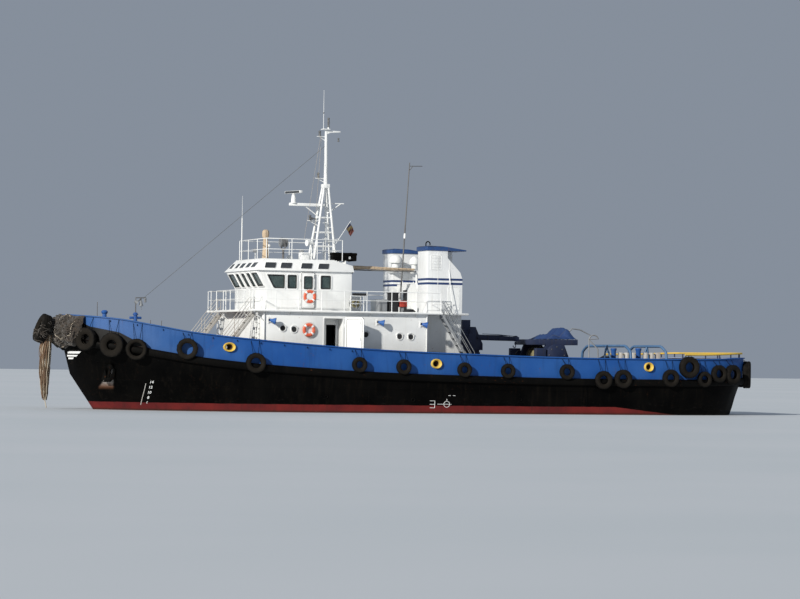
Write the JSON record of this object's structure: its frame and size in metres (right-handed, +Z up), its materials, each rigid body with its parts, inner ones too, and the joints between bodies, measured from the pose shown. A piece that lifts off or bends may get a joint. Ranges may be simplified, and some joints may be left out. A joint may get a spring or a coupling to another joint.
{
  "type": "harbour tug boat",
  "caption": "Steel harbour and sea tug with blue bulwarks, tyre fenders, white wheelhouse, twin funnels, trestle mast, towing winch and tow beams.",
  "frame": {"origin": "amidships on the centreline, at the waterline", "axes": "+X towards the bow, +Y to port, +Z up"},
  "size_m": [37.0575, 10.334, 19.37],
  "materials": {
    "white_paint": "satin",
    "blue_paint": "satin",
    "black_paint": "satin",
    "tyre_rubber": "matte",
    "old_rope": "matte",
    "navy_paint": "satin",
    "yellow_paint": "satin",
    "bronze": "satin",
    "underwater_paint": "matte",
    "bare_steel": "satin",
    "tan_canvas": "matte",
    "blue_tarpaulin": "matte"
  },
  "bodies": {
    "boat": {"hull": "black_paint", "bulwark_port": "blue_paint", "bulwark_starboard": "blue_paint", "fenders_port_fore": "tyre_rubber", "fenders_port_aft": "tyre_rubber", "fenders_starboard_fore": "tyre_rubber", "fenders_starboard_aft": "tyre_rubber", "bow_pudding": "old_rope", "stem_tyre": "tyre_rubber", "bow_beard": "old_rope", "deckhouse": "white_paint", "boat_deck": "white_paint", "wheelhouse": "white_paint", "wheelhouse_roof": "white_paint", "engine_casing": "white_paint", "main_mast": "white_paint", "aft_pole": "bare_steel", "monkey_island_rail": "white_paint", "bridge_front_rail": "white_paint", "binnacle": "tan_canvas", "searchlight_post": "bare_steel", "roof_locker": "black_paint", "rolled_awning": "tan_canvas", "towing_winch": "navy_paint", "winch_tarpaulin": "blue_tarpaulin", "tow_beam_forward": "blue_paint", "tow_beam_aft": "blue_paint", "stern_rail": "yellow_paint", "crane_post": "navy_paint", "windlass": "navy_paint", "foredeck_lamp_post": "blue_paint", "fore_bitts": "black_paint", "aft_bitts": "black_paint", "shaft_port": "underwater_paint", "funnel_port": "white_paint", "boat_deck_rail_port": "white_paint", "front_ladder_port": "white_paint", "aft_stair_port": "bare_steel", "anchor_port": "black_paint", "shaft_starboard": "underwater_paint", "funnel_starboard": "white_paint", "boat_deck_rail_starboard": "white_paint", "front_ladder_starboard": "white_paint", "aft_stair_starboard": "bare_steel", "anchor_starboard": "black_paint"},
    "propeller_port": {"propeller_port": "bronze"},
    "propeller_starboard": {"propeller_starboard": "bronze"},
    "rudder_port": {"rudder_port": "underwater_paint"},
    "rudder_starboard": {"rudder_starboard": "underwater_paint"},
    "deckhouse_door_port": {"deckhouse_door_port": "white_paint"},
    "deckhouse_door_starboard": {"deckhouse_door_starboard": "white_paint"},
    "wheelhouse_door_port": {"wheelhouse_door_port": "white_paint"},
    "wheelhouse_door_starboard": {"wheelhouse_door_starboard": "white_paint"},
    "radar_scanner": {"radar_scanner": "white_paint"},
    "searchlight_yoke": {"searchlight_yoke": "bare_steel"},
    "searchlight_head": {"searchlight_head": "bare_steel"},
    "towing_drum": {"towing_drum": "bare_steel"},
    "crane_house": {"crane_house": "navy_paint"},
    "crane_jib": {"crane_jib": "navy_paint"},
    "windlass_shaft": {"windlass_shaft": "bare_steel"}
  },
  "joints": [
    {"name": "propeller_port_turn", "type": "hinge", "parent": "boat", "child": "propeller_port", "pos_m": [-14, 1.9, -2.1], "axis": [1, 0, 0], "continuous": true},
    {"name": "propeller_starboard_turn", "type": "hinge", "parent": "boat", "child": "propeller_starboard", "pos_m": [-14, -1.9, -2.1], "axis": [1, 0, 0], "continuous": true},
    {"name": "rudder_port_steer", "type": "hinge", "parent": "boat", "child": "rudder_port", "pos_m": [-15.3, 1.9, -2], "axis": [0, 0, 1], "range_deg": [-35, 35]},
    {"name": "rudder_starboard_steer", "type": "hinge", "parent": "boat", "child": "rudder_starboard", "pos_m": [-15.3, -1.9, -2], "axis": [0, 0, 1], "range_deg": [-35, 35]},
    {"name": "deckhouse_door_port_swing", "type": "hinge", "parent": "boat", "child": "deckhouse_door_port", "pos_m": [4.24, 3.536, 3.5], "axis": [0, 0, 1], "range_deg": [-130, 35]},
    {"name": "deckhouse_door_starboard_swing", "type": "hinge", "parent": "boat", "child": "deckhouse_door_starboard", "pos_m": [4.24, -3.536, 3.5], "axis": [0, 0, -1], "range_deg": [0, 165]},
    {"name": "wheelhouse_door_port_swing", "type": "hinge", "parent": "boat", "child": "wheelhouse_door_port", "pos_m": [6.225, 2.536, 5.9], "axis": [0, 0, -1], "range_deg": [0, 120]},
    {"name": "wheelhouse_door_starboard_swing", "type": "hinge", "parent": "boat", "child": "wheelhouse_door_starboard", "pos_m": [6.225, -2.536, 5.9], "axis": [0, 0, 1], "range_deg": [0, 120]},
    {"name": "radar_scanner_turn", "type": "hinge", "parent": "boat", "child": "radar_scanner", "pos_m": [5.76, 0, 10.9], "axis": [0, 0, 1], "continuous": true},
    {"name": "searchlight_pan", "type": "hinge", "parent": "boat", "child": "searchlight_yoke", "pos_m": [6.55, 0.85, 8.02], "axis": [0, 0, 1], "range_deg": [-170, 170]},
    {"name": "searchlight_tilt", "type": "hinge", "parent": "searchlight_yoke", "child": "searchlight_head", "pos_m": [6.55, 0.85, 8.34], "axis": [0, 1, 0], "range_deg": [-40, 60]},
    {"name": "towing_drum_turn", "type": "hinge", "parent": "boat", "child": "towing_drum", "pos_m": [-7.95, 0, 2.96], "axis": [0, 1, 0], "continuous": true},
    {"name": "crane_slew", "type": "hinge", "parent": "boat", "child": "crane_house", "pos_m": [-3.9, 0, 3.1], "axis": [0, 0, 1], "range_deg": [-105, 105]},
    {"name": "crane_luff", "type": "hinge", "parent": "crane_house", "child": "crane_jib", "pos_m": [-4.16, 0, 3.82], "axis": [0, 1, 0], "range_deg": [0, 60]},
    {"name": "windlass_turn", "type": "hinge", "parent": "boat", "child": "windlass_shaft", "pos_m": [12.6, 0, 3.2], "axis": [0, 1, 0], "continuous": true}
  ],
  "couplings": [
    {"joint": "rudder_starboard_steer", "follows": "rudder_port_steer", "ratio": 1}
  ]
}
